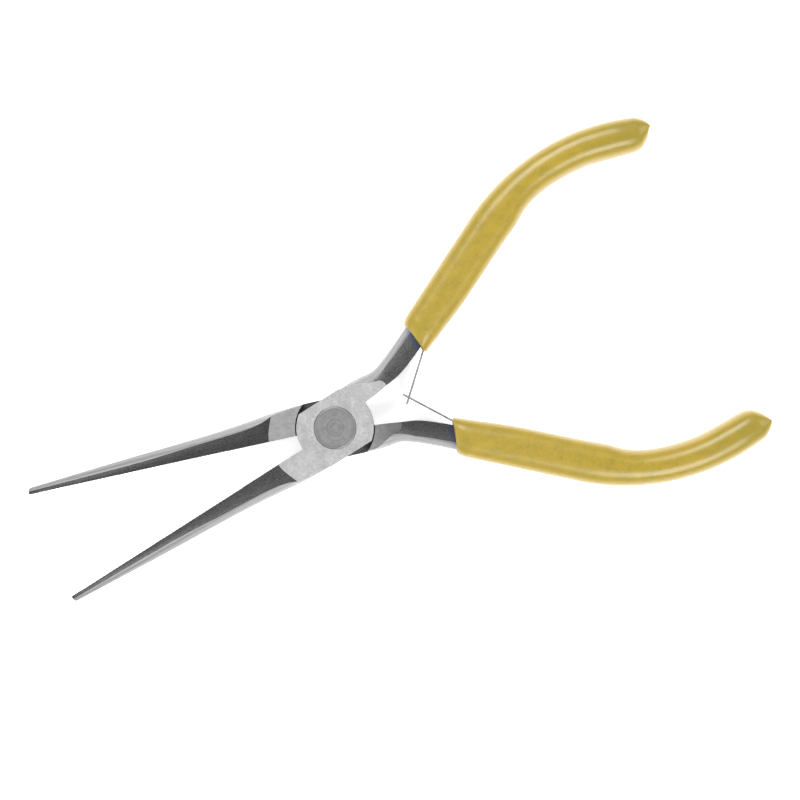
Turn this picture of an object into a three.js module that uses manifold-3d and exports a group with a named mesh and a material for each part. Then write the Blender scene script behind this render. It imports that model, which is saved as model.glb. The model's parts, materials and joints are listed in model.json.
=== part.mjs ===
// Needle nose pliers with leaf springs, 150 mm long when closed, lying flat on one side.
// Millimetres, +Z up. The origin is on the pivot axis, level with the underside of the joint.
// +X runs along the middle line to the jaw tips. The springs hold the jaws open at rest.
//
// The two halves are the same forging. Each is drawn in its own half frame: x to the jaw tip, the
// gripping face on y = 0 with the jaw behind it at +y, and the handle crossing over to -y.
// The front half keeps the upper lap of the joint. The rear half is the same part turned over.

import * as THREE from "three";
import { mergeVertices } from "three/addons/utils/BufferGeometryUtils.js";
import Module from "manifold-3d";

const wasm = await Module();
wasm.setup();

// Joint
const OPEN_ANGLE = THREE.MathUtils.degToRad(20); // between the gripping faces at rest
const JOINT_THICKNESS = 9;
const MIDDLE = JOINT_THICKNESS / 2;
const LAP_RADIUS = 7.75;
const SHOULDER_RADIUS = 8.02;
const LAP_FLAT_JAW_SIDE = 6.08; // half width of the lap on the side of its own jaw
const LAP_FLAT_TANG_SIDE = 6.2;
const LAP_GAP = 0.1; // between the two laps, along the pivot

// Pivot rivet
const RIVET_SHANK_RADIUS = 2.5;
const RIVET_HEAD_RADIUS = 4.25;
const RIVET_HEAD_HEIGHT = 1.6;
const RUNNING_CLEARANCE = 0.1;

// Jaws
const JAW_LENGTH = 63.3; // pivot to tip
const FACE_RELIEF = 0.1; // half of the daylight between the closed gripping faces
const TIP_CHAMFER = 0.5;

// Handles and grips
const HANDLE_SLOPE = THREE.MathUtils.degToRad(24.5); // of the straight run, off the closed middle line
const HANDLE_ALONG = new THREE.Vector2(-Math.cos(HANDLE_SLOPE), -Math.sin(HANDLE_SLOPE));
const HANDLE_INWARD = new THREE.Vector2(-Math.sin(HANDLE_SLOPE), Math.cos(HANDLE_SLOPE));
const GRIP_STRAIGHT_END = new THREE.Vector2(-45.45, -21.06); // outer edge, where the bend starts
const GRIP_BEND_RADIUS = 45.7; // outer edge
const GRIP_BEND_ANGLE = THREE.MathUtils.degToRad(50);
const GRIP_HALF_THICKNESS = 4.5;
const GRIP_CLEARANCE = 0.2; // between a tang and its sleeve

// Leaf springs
const LEAF_THICKNESS = 0.4;
const LEAF_WIDTH = 5;
const LEAF_FACE_GAP = 0.12; // between the leaf and the tang that it is riveted to
const LEAF_ROOT = new THREE.Vector2(-24.6, -5.19); // on the inner face of the tang
const LEAF_SEAT_LENGTH = 12; // along the tang, inside the grip
const LEAF_FREE_LENGTH = 13.2; // from the root to the tip
const LEAF_FREE_SLOPE = THREE.MathUtils.degToRad(40.5); // in the half frame
const LEAF_CROSSING = 11.8; // from the root to where the two leaves cross
const TONGUE_WIDTH = 2;
const TONGUE_LENGTH = LEAF_FREE_LENGTH - LEAF_CROSSING + 1.2;
const SLOT_WIDTH = 2.6;
const SLOT_LENGTH = 2.8;
const SLOT_END_BAR = 0.5;

// Rivets that hold the leaves to the tangs
const PIN_SEAT = 10; // from the leaf root, along the tang
const PIN_RADIUS = 0.8;
const PIN_DEPTH = 2.2;
const PIN_HEAD_RADIUS = 1.4;
const PIN_HEAD_HEIGHT = 0.5;
const PIN_CLEARANCE = 0.1;

const ROUND_FACETS = 48;
const SMALL_ROUND_FACETS = 16;
const MARGIN = 1; // how far a cutter runs past what it cuts

// ---------------------------------------------------------------- geometry helpers

// A closed geometry as a manifold-3d solid.
function solidOf(geometry) {
  const bare = geometry.index ? geometry.toNonIndexed() : geometry.clone();
  bare.deleteAttribute("normal");
  bare.deleteAttribute("uv");
  const merged = mergeVertices(bare, 1e-4);
  return new wasm.Manifold(
    new wasm.Mesh({
      numProp: 3,
      vertProperties: new Float32Array(merged.attributes.position.array),
      triVerts: new Uint32Array(merged.index.array),
    }),
  );
}

// A manifold-3d solid as a geometry with flat shading normals.
function geometryOf(solid) {
  const mesh = solid.getMesh();
  const geometry = new THREE.BufferGeometry();
  geometry.setAttribute("position", new THREE.BufferAttribute(mesh.vertProperties, 3));
  geometry.setIndex(new THREE.BufferAttribute(mesh.triVerts, 1));
  const flat = geometry.toNonIndexed();
  flat.computeVertexNormals();
  return flat;
}

// A smooth value along x, through the given [x, value] pairs, which run from low to high x.
// It never swings past a pair, so a level stretch stays level.
function profile(pairs) {
  const rises = pairs.slice(1).map(([x, v], i) => (v - pairs[i][1]) / (x - pairs[i][0]));
  const slope = pairs.map((_, i) => {
    const before = rises[Math.max(i - 1, 0)];
    const after = rises[Math.min(i, rises.length - 1)];
    return before * after > 0 ? (2 * before * after) / (before + after) : 0;
  });
  return (x) => {
    const last = pairs.length - 2;
    const found = pairs.findIndex(([end], i) => i > 0 && x <= end);
    const i = found < 0 ? last : found - 1;
    const [x0, v0] = pairs[i];
    const [x1, v1] = pairs[i + 1];
    const step = x1 - x0;
    const t = THREE.MathUtils.clamp((x - x0) / step, 0, 1);
    const rise = t * t * (3 - 2 * t);
    const leave = t * (1 - t) * (1 - t) * step * slope[i];
    const arrive = t * t * (t - 1) * step * slope[i + 1];
    return v0 + (v1 - v0) * rise + leave + arrive;
  };
}

// count + 1 even steps from low to high.
function steps(low, high, count) {
  return Array.from({ length: count + 1 }, (_, i) => low + ((high - low) * i) / count);
}

// A closed solid skinned over rings, which are convex outlines with the same number of points.
function skin(rings) {
  const size = rings[0].length;
  const last = (rings.length - 1) * size;
  const index = [];
  for (let start = 0; start < last; start += size) {
    for (let j = 0; j < size; j++) {
      const k = (j + 1) % size;
      index.push(start + j, start + size + k, start + k);
      index.push(start + j, start + size + j, start + size + k);
    }
  }
  for (let j = 1; j + 1 < size; j++) {
    index.push(0, j, j + 1);
    index.push(last, last + j + 1, last + j);
  }
  const geometry = new THREE.BufferGeometry().setFromPoints(rings.flat());
  geometry.setIndex(index);
  return geometry;
}

// One ring on the line from an inner to an outer edge point. The section is a list of
// [across, up] pairs, across from the inner edge and up from the middle plane.
function ring(inner, outer, section) {
  const across = outer.clone().sub(inner).normalize();
  return section.map(
    ([a, up]) => new THREE.Vector3(inner.x + across.x * a, inner.y + across.y * a, MIDDLE + up),
  );
}

// Section of a jaw or a tang: a flat inner face, a flank that falls away slightly to its ridge,
// and a round back that starts at the ridge.
const BACK_SPREAD = THREE.MathUtils.degToRad(65);
function forgedSection(width, halfHeight, ridgeShare) {
  const CROWN = 0.26;
  const FLANK_STEPS = 4;
  const BACK_STEPS = 8;
  const ridge = width * ridgeShare;
  const crownAt = (share) => halfHeight - CROWN * share ** 2;
  const flank = steps(0, 1, FLANK_STEPS).map((share) => [ridge * share, crownAt(share)]);
  const backAcross = (width - ridge) / (1 - Math.cos(BACK_SPREAD));
  const backUp = crownAt(1) / Math.sin(BACK_SPREAD);
  const back = steps(BACK_SPREAD, -BACK_SPREAD, BACK_STEPS).map((angle) => [
    width - backAcross * (1 - Math.cos(angle)),
    backUp * Math.sin(angle),
  ]);
  const lowerFlank = flank.map(([across, up]) => [across, -up]).reverse();
  return [...flank.slice(0, -1), ...back, ...lowerFlank.slice(1)];
}

// Rounded section of a grip: a superellipse, boxier as the power rises.
function roundedSection(width, halfHeight, power, count) {
  const bulge = (value) => Math.sign(value) * Math.abs(value) ** (2 / power);
  return steps(0, 2 * Math.PI, count)
    .slice(0, -1)
    .map((angle) => [
      (width / 2) * (1 - bulge(Math.cos(angle))),
      halfHeight * bulge(Math.sin(angle)),
    ]);
}

// A cylinder along Z between two heights.
function upright(radius, bottom, top, facets) {
  const cylinder = new THREE.CylinderGeometry(radius, radius, top - bottom, facets);
  cylinder.rotateX(Math.PI / 2);
  cylinder.translate(0, 0, (bottom + top) / 2);
  return solidOf(cylinder);
}

// A box between two corners.
function block(low, high) {
  const size = high.map((value, i) => value - low[i]);
  const box = new THREE.BoxGeometry(...size);
  box.translate(...low.map((value, i) => value + size[i] / 2));
  return solidOf(box);
}

// An outline in the half frame, extruded between two heights.
function plate(shape, bottom, top, curveSegments = 12) {
  const geometry = new THREE.ExtrudeGeometry(shape, {
    depth: top - bottom,
    bevelEnabled: false,
    curveSegments,
  });
  geometry.translate(0, 0, bottom);
  return solidOf(geometry);
}

// ---------------------------------------------------------------- the forged halves

// Outer edge, half height and ridge of the jaw along x.
const jawWidth = profile([
  [-2, 6.08],
  [5, 6.06],
  [9, 5.88],
  [13, 5.52],
  [17, 4.99],
  [25, 4.17],
  [32, 3.68],
  [40, 3.17],
  [46, 2.75],
  [JAW_LENGTH, 1.45],
]);
const jawHalfHeight = profile([
  [-2, 8],
  [8, 5.75],
  [12.35, 4.7],
  [13.5, 4.5],
  [17.5, 4.02],
  [40, 2.4],
  [JAW_LENGTH, 1],
]);
const jawRidge = profile([
  [-2, 0.95],
  [11.5, 0.9],
  [14, 0.775],
  [16, 0.725],
  [18, 0.695],
  [26, 0.668],
  [30, 0.644],
  [35, 0.575],
  [40, 0.52],
  [46, 0.5],
  [JAW_LENGTH, 0.48],
]);

function jaw() {
  const stations = [
    ...steps(-1, 10, 5),
    ...steps(11, 19, 10),
    ...steps(21, JAW_LENGTH - TIP_CHAMFER, 16),
    JAW_LENGTH,
  ];
  const rings = stations.map((x) => {
    const blunt = x === JAW_LENGTH ? TIP_CHAMFER : 0;
    const width = jawWidth(x) - FACE_RELIEF - blunt;
    const halfHeight = jawHalfHeight(x) - blunt / 2;
    const inner = new THREE.Vector2(x, FACE_RELIEF);
    const outer = new THREE.Vector2(x, FACE_RELIEF + width);
    return ring(inner, outer, forgedSection(width, halfHeight, jawRidge(x)));
  });
  return solidOf(skin(rings));
}

// Edges of the tang, from the lap to its end deep in the grip.
const tangOuterEdge = new THREE.SplineCurve([
  new THREE.Vector2(1, -6.2),
  new THREE.Vector2(-7, -6.15),
  new THREE.Vector2(-9.6, -5.96),
  new THREE.Vector2(-12.4, -5.67),
  new THREE.Vector2(-16.5, -6.9),
  new THREE.Vector2(-22.5, -9.45),
  new THREE.Vector2(-34, -14.5),
  new THREE.Vector2(-46, -19.9),
  new THREE.Vector2(-56, -22.95),
  new THREE.Vector2(-65, -23.7),
  new THREE.Vector2(-73, -22.9),
  new THREE.Vector2(-80, -20.9),
]);
const tangInnerEdge = new THREE.SplineCurve([
  new THREE.Vector2(1, -1.2),
  new THREE.Vector2(-7.5, -1.2),
  new THREE.Vector2(-13, -1.7),
  new THREE.Vector2(-17, -2.25),
  new THREE.Vector2(-21.5, -3.85),
  LEAF_ROOT,
  LEAF_ROOT.clone().addScaledVector(HANDLE_ALONG, LEAF_SEAT_LENGTH / 2),
  LEAF_ROOT.clone().addScaledVector(HANDLE_ALONG, LEAF_SEAT_LENGTH),
  new THREE.Vector2(-46, -14.7),
  new THREE.Vector2(-56, -18.4),
  new THREE.Vector2(-65, -19.5),
  new THREE.Vector2(-73, -18.7),
  new THREE.Vector2(-79, -17.2),
]);
const tangHalfHeight = profile([
  [-80, 2.6],
  [-25, 3.15],
  [-20, 3.5],
  [-15.5, 4.06],
  [-12.65, 4.62],
  [-11, 4.8],
  [-9.5, 5.06],
  [-7, 5.9],
  [1, 8],
]);
const tangRidge = profile([
  [-80, 0.7],
  [-16, 0.695],
  [-13, 0.58],
  [-11, 0.54],
  [-9.5, 0.63],
  [-7, 0.86],
  [1, 0.92],
]);

// The tang between two shares of its length, grown all round by a clearance.
function tang(from, to, count, clearance = 0) {
  const rings = steps(from, to, count).map((share) => {
    const inner = tangInnerEdge.getPointAt(share);
    const outer = tangOuterEdge.getPointAt(share);
    const across = outer.clone().sub(inner).normalize();
    inner.addScaledVector(across, -clearance);
    outer.addScaledVector(across, clearance);
    const x = (inner.x + outer.x) / 2;
    const halfHeight = tangHalfHeight(x) + clearance;
    return ring(inner, outer, forgedSection(inner.distanceTo(outer), halfHeight, tangRidge(x)));
  });
  return solidOf(skin(rings));
}

// The disc of the upper lap, cut by a flat on each side.
function lapOutline() {
  const jawSide = Math.asin(LAP_FLAT_JAW_SIDE / LAP_RADIUS);
  const tangSide = Math.asin(LAP_FLAT_TANG_SIDE / LAP_RADIUS);
  const outline = new THREE.Shape();
  outline.absarc(0, 0, LAP_RADIUS, -tangSide, jawSide, false);
  outline.absarc(0, 0, LAP_RADIUS, Math.PI - jawSide, Math.PI + tangSide, false);
  outline.closePath();
  return outline;
}

const TANG_VISIBLE_SHARE = 0.33; // of the tang's length, as far as the grip covers it
const TANG_STEEL_SHARE = 0.985; // the rest is room inside the sleeve

function forgedHalf() {
  const faceHeight = JOINT_THICKNESS + MARGIN;
  const wide = 2 * JAW_LENGTH;
  const groundFaces = block([-wide, -wide, 0], [wide, wide, JOINT_THICKNESS]);
  const blank = jaw()
    .add(tang(0, TANG_VISIBLE_SHARE, 18))
    .add(tang(TANG_VISIBLE_SHARE, TANG_STEEL_SHARE, 13))
    .intersect(groundFaces);
  const lapBottom = MIDDLE + LAP_GAP / 2;
  const lap = plate(lapOutline(), lapBottom, JOINT_THICKNESS);
  const otherLap = upright(SHOULDER_RADIUS, -MARGIN, lapBottom, ROUND_FACETS);
  const bore = upright(RIVET_SHANK_RADIUS + RUNNING_CLEARANCE, -MARGIN, faceHeight, ROUND_FACETS);
  const headRecess = upright(
    RIVET_HEAD_RADIUS + RUNNING_CLEARANCE,
    JOINT_THICKNESS - RIVET_HEAD_HEIGHT - RUNNING_CLEARANCE,
    faceHeight,
    ROUND_FACETS,
  );
  return blank
    .subtract(otherLap)
    .add(lap)
    .subtract(bore)
    .subtract(headRecess)
    .subtract(pinHole());
}

// ---------------------------------------------------------------- pivot rivet

function pivotRivet() {
  const headTop = JOINT_THICKNESS - RIVET_HEAD_HEIGHT;
  const outline = [
    [0, 0],
    [RIVET_HEAD_RADIUS, 0],
    [RIVET_HEAD_RADIUS, RIVET_HEAD_HEIGHT],
    [RIVET_SHANK_RADIUS, RIVET_HEAD_HEIGHT],
    [RIVET_SHANK_RADIUS, headTop],
    [RIVET_HEAD_RADIUS, headTop],
    [RIVET_HEAD_RADIUS, JOINT_THICKNESS],
    [0, JOINT_THICKNESS],
  ].map(([radius, height]) => new THREE.Vector2(radius, height));
  const lathe = new THREE.LatheGeometry(outline, ROUND_FACETS);
  lathe.rotateX(Math.PI / 2);
  return solidOf(lathe);
}

// ---------------------------------------------------------------- grips

// Outer edge of the grip: a rounded lip, a straight run and a long bend.
function gripOuterEdge() {
  const bendCentre = GRIP_STRAIGHT_END.clone().addScaledVector(HANDLE_INWARD, GRIP_BEND_RADIUS);
  const bendStart = HANDLE_SLOPE - Math.PI / 2;
  const lipEnd = GRIP_STRAIGHT_END.clone().addScaledVector(HANDLE_ALONG, -22.6);
  const edge = new THREE.Path();
  edge.moveTo(-22.95, -10.36);
  edge.quadraticCurveTo(-23.25, -11, lipEnd.x, lipEnd.y);
  edge.lineTo(GRIP_STRAIGHT_END.x, GRIP_STRAIGHT_END.y);
  edge.absarc(
    bendCentre.x,
    bendCentre.y,
    GRIP_BEND_RADIUS,
    bendStart,
    bendStart - GRIP_BEND_ANGLE,
    true,
  );
  edge.quadraticCurveTo(-85.7, -19.7, -86.15, -17.65);
  return edge;
}

// Inner edge of the grip: it widens from the lip, steps in at a knuckle and follows the bend.
const gripInnerEdge = new THREE.SplineCurve([
  new THREE.Vector2(-23.9, -3.15),
  new THREE.Vector2(-29, -5.07),
  new THREE.Vector2(-36, -7.75),
  new THREE.Vector2(-47, -12.62),
  new THREE.Vector2(-52.5, -14.92),
  new THREE.Vector2(-56, -16.7),
  new THREE.Vector2(-60, -17.76),
  new THREE.Vector2(-65, -18.02),
  new THREE.Vector2(-71, -17.42),
  new THREE.Vector2(-77, -15.68),
  new THREE.Vector2(-81.5, -14.4),
  new THREE.Vector2(-84.1, -15.25),
  new THREE.Vector2(-85.6, -16.9),
]);
const gripHalfThickness = profile([
  [-86.5, 2.3],
  [-85.5, 3.3],
  [-83, 4.2],
  [-79, GRIP_HALF_THICKNESS],
  [-25.2, GRIP_HALF_THICKNESS],
  [-24.2, 4.35],
  [-23.4, 4],
]);
const gripPower = profile([
  [-86, 2.5],
  [-60, 2.5],
  [-46, 3],
  [-23, 3.2],
]);

function gripSleeve() {
  const outerEdge = gripOuterEdge();
  const shares = [0, 0.008, 0.02, 0.04, ...steps(0.08, 0.92, 24), 0.945, 0.965, 0.982, 1];
  const rings = shares.map((share) => {
    const inner = gripInnerEdge.getPointAt(share);
    const outer = outerEdge.getPointAt(share);
    const x = (inner.x + outer.x) / 2;
    const width = inner.distanceTo(outer);
    return ring(inner, outer, roundedSection(width, gripHalfThickness(x), gripPower(x), 24));
  });
  const leafRoom = LEAF_FACE_GAP + LEAF_THICKNESS;
  const pocketEnd = LEAF_SEAT_LENGTH + MARGIN;
  const pocketWidth = LEAF_WIDTH + 0.6;
  return solidOf(skin(rings))
    .subtract(tang(0.2, 1, 22, GRIP_CLEARANCE))
    .subtract(besideTang(-3, pocketEnd, leafRoom + 0.5, pocketWidth))
    .subtract(besideTang(PIN_SEAT - 2, pocketEnd, leafRoom + PIN_HEAD_HEIGHT + 0.4, pocketWidth));
}

// ---------------------------------------------------------------- leaf springs and their rivets

// A point beside the inner face of the tang: along it from the leaf root, and off it.
function besidePoint(along, off) {
  return LEAF_ROOT.clone().addScaledVector(HANDLE_ALONG, along).addScaledVector(HANDLE_INWARD, off);
}

// A straight block of room on the inner face of the tang.
function besideTang(from, to, depth, width) {
  const sink = -0.5;
  const corners = [
    besidePoint(from, sink),
    besidePoint(to, sink),
    besidePoint(to, depth),
    besidePoint(from, depth),
  ];
  return plate(new THREE.Shape(corners), MIDDLE - width / 2, MIDDLE + width / 2);
}

// A geometry built along +Z from the tang's inner face, set at the pin's seat.
function setOnTang(geometry) {
  const seat = besidePoint(PIN_SEAT, 0);
  const facing = new THREE.Quaternion().setFromUnitVectors(
    new THREE.Vector3(0, 0, 1),
    new THREE.Vector3(HANDLE_INWARD.x, HANDLE_INWARD.y, 0),
  );
  geometry.applyQuaternion(facing);
  geometry.translate(seat.x, seat.y, MIDDLE);
  return solidOf(geometry);
}

// The hole for the pin, through the leaf and into the tang.
function pinHole() {
  const radius = PIN_RADIUS + PIN_CLEARANCE;
  const length = PIN_DEPTH + PIN_CLEARANCE + MARGIN;
  const hole = new THREE.CylinderGeometry(radius, radius, length, SMALL_ROUND_FACETS);
  hole.rotateX(Math.PI / 2);
  hole.translate(0, 0, MARGIN - length / 2);
  return setOnTang(hole);
}

function springPin() {
  const headBottom = LEAF_FACE_GAP + LEAF_THICKNESS + PIN_CLEARANCE;
  const headTop = headBottom + PIN_HEAD_HEIGHT;
  const outline = [
    [0, -PIN_DEPTH],
    [PIN_RADIUS, -PIN_DEPTH],
    [PIN_RADIUS, headBottom],
    [PIN_HEAD_RADIUS, headBottom],
    [PIN_HEAD_RADIUS * 0.85, headTop],
    [0, headTop],
  ].map(([radius, height]) => new THREE.Vector2(radius, height));
  const lathe = new THREE.LatheGeometry(outline, SMALL_ROUND_FACETS);
  lathe.rotateX(Math.PI / 2);
  return setOnTang(lathe);
}

// The leaf's centre line: flat on the tang, a short bend at the root, then straight.
function leafCentreLine() {
  const BEND_REACH = 1.5;
  const free = new THREE.Vector2(Math.cos(LEAF_FREE_SLOPE), Math.sin(LEAF_FREE_SLOPE));
  const centre = LEAF_FACE_GAP + LEAF_THICKNESS / 2;
  const root = besidePoint(0, centre);
  const seatEnd = besidePoint(LEAF_SEAT_LENGTH, centre);
  const bendStart = besidePoint(BEND_REACH, centre);
  const bendEnd = root.clone().addScaledVector(free, BEND_REACH);
  const tip = root.clone().addScaledVector(free, LEAF_FREE_LENGTH);
  const bend = new THREE.QuadraticBezierCurve(bendStart, root, bendEnd).getPoints(6);
  return { line: [seatEnd, ...bend, tip], root, free };
}

// A strip of the leaf's thickness along its centre line.
function leafStrip() {
  const { line } = leafCentreLine();
  const side = (sign) =>
    line.map((point, i) => {
      const before = line[Math.max(i - 1, 0)];
      const after = line[Math.min(i + 1, line.length - 1)];
      const along = after.clone().sub(before).normalize();
      const left = new THREE.Vector2(-along.y, along.x);
      return point.clone().addScaledVector(left, (sign * LEAF_THICKNESS) / 2);
    });
  const outline = new THREE.Shape([...side(-1), ...side(1).reverse()]);
  return plate(outline, MIDDLE - LEAF_WIDTH / 2, MIDDLE + LEAF_WIDTH / 2).subtract(pinHole());
}

// A block of room across the free part of the leaf, between two distances from the root.
function acrossLeaf(from, to, bottom, top) {
  const { root, free } = leafCentreLine();
  const left = new THREE.Vector2(-free.y, free.x);
  const corner = (along, off) =>
    root.clone().addScaledVector(free, along).addScaledVector(left, off);
  const outline = new THREE.Shape([
    corner(from, -MARGIN),
    corner(to, -MARGIN),
    corner(to, MARGIN),
    corner(from, MARGIN),
  ]);
  return plate(outline, bottom, top);
}

// The front half's leaf ends in a narrow tongue.
function tongueLeaf() {
  const from = LEAF_FREE_LENGTH - TONGUE_LENGTH;
  const to = LEAF_FREE_LENGTH + MARGIN;
  const low = MIDDLE - TONGUE_WIDTH / 2;
  const high = MIDDLE + TONGUE_WIDTH / 2;
  return leafStrip()
    .subtract(acrossLeaf(from, to, -MARGIN, low))
    .subtract(acrossLeaf(from, to, high, JOINT_THICKNESS + MARGIN));
}

// The rear half's leaf has a slot that the tongue passes through.
function slottedLeaf() {
  const to = LEAF_FREE_LENGTH - SLOT_END_BAR;
  const from = to - SLOT_LENGTH;
  return leafStrip().subtract(
    acrossLeaf(from, to, MIDDLE - SLOT_WIDTH / 2, MIDDLE + SLOT_WIDTH / 2),
  );
}

// ---------------------------------------------------------------- assembly

const FORGED_STEEL = { color: 0xa6a6a6, roughness: 0.38, metalness: 1 };
const RIVET_STEEL = { color: 0x929292, roughness: 0.45, metalness: 1 };
const SPRING_STEEL = { color: 0xb0b0b0, roughness: 0.3, metalness: 1 };
const YELLOW_VINYL = { color: 0xc4a942, roughness: 0.42, metalness: 0 };

function piece(name, solid, finish) {
  const mesh = new THREE.Mesh(geometryOf(solid), new THREE.MeshStandardMaterial(finish));
  mesh.name = name;
  return mesh;
}

const half = forgedHalf();
const grip = gripSleeve();
const pin = springPin();

const front = new THREE.Group();
front.rotation.z = OPEN_ANGLE / 2;
front.add(
  piece("front_half", half, FORGED_STEEL),
  piece("pivot_rivet", pivotRivet(), RIVET_STEEL),
  piece("front_grip", grip, YELLOW_VINYL),
  piece("tongue_leaf_spring", tongueLeaf(), SPRING_STEEL),
  piece("front_spring_rivet", pin, RIVET_STEEL),
);

const turnedOver = new THREE.Group();
turnedOver.rotation.x = Math.PI;
turnedOver.position.z = JOINT_THICKNESS;
turnedOver.add(
  piece("rear_half", half, FORGED_STEEL),
  piece("rear_grip", grip, YELLOW_VINYL),
  piece("slotted_leaf_spring", slottedLeaf(), SPRING_STEEL),
  piece("rear_spring_rivet", pin, RIVET_STEEL),
);
const rear = new THREE.Group();
rear.rotation.z = -OPEN_ANGLE / 2;
rear.add(turnedOver);

const pliers = new THREE.Group();
pliers.add(front, rear);

export default pliers;
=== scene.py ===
"""Needle nose pliers: the looks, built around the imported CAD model.

The part's frame is in metres: +X to the jaw tips, +Z up, the pivot axis on the origin.
The steel halves, the sleeves and the leaf springs are drawn in a half frame in millimetres, with
the jaw at +y and the handle crossing over to -y. Each is then set into the part's frame at its side.
"""

import json
import math

import bmesh
import bpy
import numpy as np
from mathutils import Matrix, Vector

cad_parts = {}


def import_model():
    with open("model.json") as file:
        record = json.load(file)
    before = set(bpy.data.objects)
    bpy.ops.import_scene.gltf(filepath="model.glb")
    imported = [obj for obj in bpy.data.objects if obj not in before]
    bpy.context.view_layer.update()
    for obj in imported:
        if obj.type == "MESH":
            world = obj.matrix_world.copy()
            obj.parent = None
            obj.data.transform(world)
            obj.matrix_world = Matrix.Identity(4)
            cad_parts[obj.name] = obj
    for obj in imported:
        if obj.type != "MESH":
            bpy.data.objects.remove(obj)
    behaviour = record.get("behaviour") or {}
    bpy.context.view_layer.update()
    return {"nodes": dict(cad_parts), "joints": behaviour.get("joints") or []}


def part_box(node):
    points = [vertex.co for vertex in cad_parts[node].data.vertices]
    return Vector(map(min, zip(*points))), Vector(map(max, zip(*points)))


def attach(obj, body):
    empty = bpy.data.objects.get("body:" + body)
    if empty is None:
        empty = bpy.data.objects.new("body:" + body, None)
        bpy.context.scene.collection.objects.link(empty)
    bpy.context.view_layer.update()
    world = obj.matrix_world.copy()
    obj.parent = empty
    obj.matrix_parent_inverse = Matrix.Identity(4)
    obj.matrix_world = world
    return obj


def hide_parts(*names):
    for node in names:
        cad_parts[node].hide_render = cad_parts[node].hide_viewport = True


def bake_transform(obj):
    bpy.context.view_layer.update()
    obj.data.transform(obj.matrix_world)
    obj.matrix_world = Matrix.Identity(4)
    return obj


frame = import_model()

MM = 0.001

# ---------------------------------------------------------------- sizes read from the frame

JOINTS = {joint["name"]: joint for joint in frame["joints"]}
OPEN_ANGLE = math.radians(JOINTS["pivot"]["range_deg"][1])  # closing takes the whole opening up
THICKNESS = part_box("pivot_rivet")[1].z / MM
MIDDLE = THICKNESS / 2
RIVET_HEAD_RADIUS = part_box("pivot_rivet")[1].x / MM
GRIP_HALF_THICKNESS = (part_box("front_grip")[1].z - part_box("front_grip")[0].z) / MM / 2

FRONT_FRAME = Matrix.Rotation(OPEN_ANGLE / 2, 4, "Z") @ Matrix.Scale(MM, 4)
REAR_FRAME = (
    Matrix.Rotation(-OPEN_ANGLE / 2, 4, "Z")
    @ Matrix.Translation((0, 0, THICKNESS * MM))
    @ Matrix.Rotation(math.pi, 4, "X")
    @ Matrix.Scale(MM, 4)
)
LEAF_ROOT = FRONT_FRAME.inverted() @ Vector(JOINTS["front_leaf_flex"]["pos_m"])

# ---------------------------------------------------------------- sizes of the half, millimetres

LAP_RADIUS = 7.75
SHOULDER_RADIUS = 8.02  # of the room that each half leaves for the other's lap
LAP_FLAT_JAW_SIDE = 6.08
LAP_FLAT_TANG_SIDE = 6.2
LAP_GAP = 0.1
BORE_RADIUS = 2.6
RECESS_DEPTH = 1.7
RECESS_CLEARANCE = 0.03
EASED_EDGE = 0.1  # width of the broken edges

JAW_LENGTH = 63.3
FACE_RELIEF = 0.1
TIP_ROUND = 0.5
STATION_STEP = 0.4  # along the jaw, in front of and behind the grooves
GROOVE_PITCH = 0.8
GROOVE_DEPTH = 0.11
GROOVES_FROM = 22
GROOVES_TO = 61.6

HANDLE_SLOPE = math.radians(24.5)
HANDLE_ALONG = np.array([-math.cos(HANDLE_SLOPE), -math.sin(HANDLE_SLOPE)])
HANDLE_INWARD = np.array([-math.sin(HANDLE_SLOPE), math.cos(HANDLE_SLOPE)])
GRIP_STRAIGHT_END = np.array([-45.45, -21.06])
GRIP_BEND_RADIUS = 45.7
GRIP_BEND_ANGLE = math.radians(50)
GRIP_STRAIGHT_LENGTH = 22.6

LEAF_THICKNESS = 0.4
LEAF_WIDTH = 5
LEAF_SEAT_OFFSET = 0.32
LEAF_SEAT_LENGTH = 12
LEAF_FREE_LENGTH = 13.2
LEAF_FREE_SLOPE = math.radians(40.5)
LEAF_BEND_REACH = 1.5  # to each side of the root
LEAF_STEP = 0.4
TONGUE_WIDTH = 2
TONGUE_LENGTH = 2.6
SLOT_WIDTH = 2.6
SLOT_LENGTH = 2.8
SLOT_END_BAR = 0.5

# ---------------------------------------------------------------- curves and sections


def profile(pairs):
    """A smooth value along x through (x, value) pairs, low x first, that never swings past one."""
    xs, values = np.array(pairs, float).T
    rises = np.diff(values) / np.diff(xs)
    before = np.concatenate([rises[:1], rises])
    after = np.concatenate([rises, rises[-1:]])
    level = before * after <= 0
    total = np.where(level, 1, before + after)
    slope = np.where(level, 0, 2 * before * after / total)

    def value(x):
        i = int(np.clip(np.searchsorted(xs, x) - 1, 0, len(xs) - 2))
        step = xs[i + 1] - xs[i]
        t = float(np.clip((x - xs[i]) / step, 0, 1))
        leave = t * (1 - t) ** 2 * step * slope[i]
        arrive = t * t * (t - 1) * step * slope[i + 1]
        return values[i] + (values[i + 1] - values[i]) * t * t * (3 - 2 * t) + leave + arrive

    return value


def catmull_rom(points, per_span=24):
    """A smooth polyline through the points."""
    points = np.array(points, float)
    padded = np.vstack([points[:1], points, points[-1:]])
    spans = []
    for p0, p1, p2, p3 in zip(padded, padded[1:], padded[2:], padded[3:]):
        for t in np.arange(per_span) / per_span:
            v0, v1 = (p2 - p0) / 2, (p3 - p1) / 2
            cubic = (2 * p1 - 2 * p2 + v0 + v1) * t**3
            square = (3 * p2 - 3 * p1 - 2 * v0 - v1) * t**2
            spans.append(cubic + square + v0 * t + p1)
    spans.append(points[-1])
    return np.array(spans)


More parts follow.
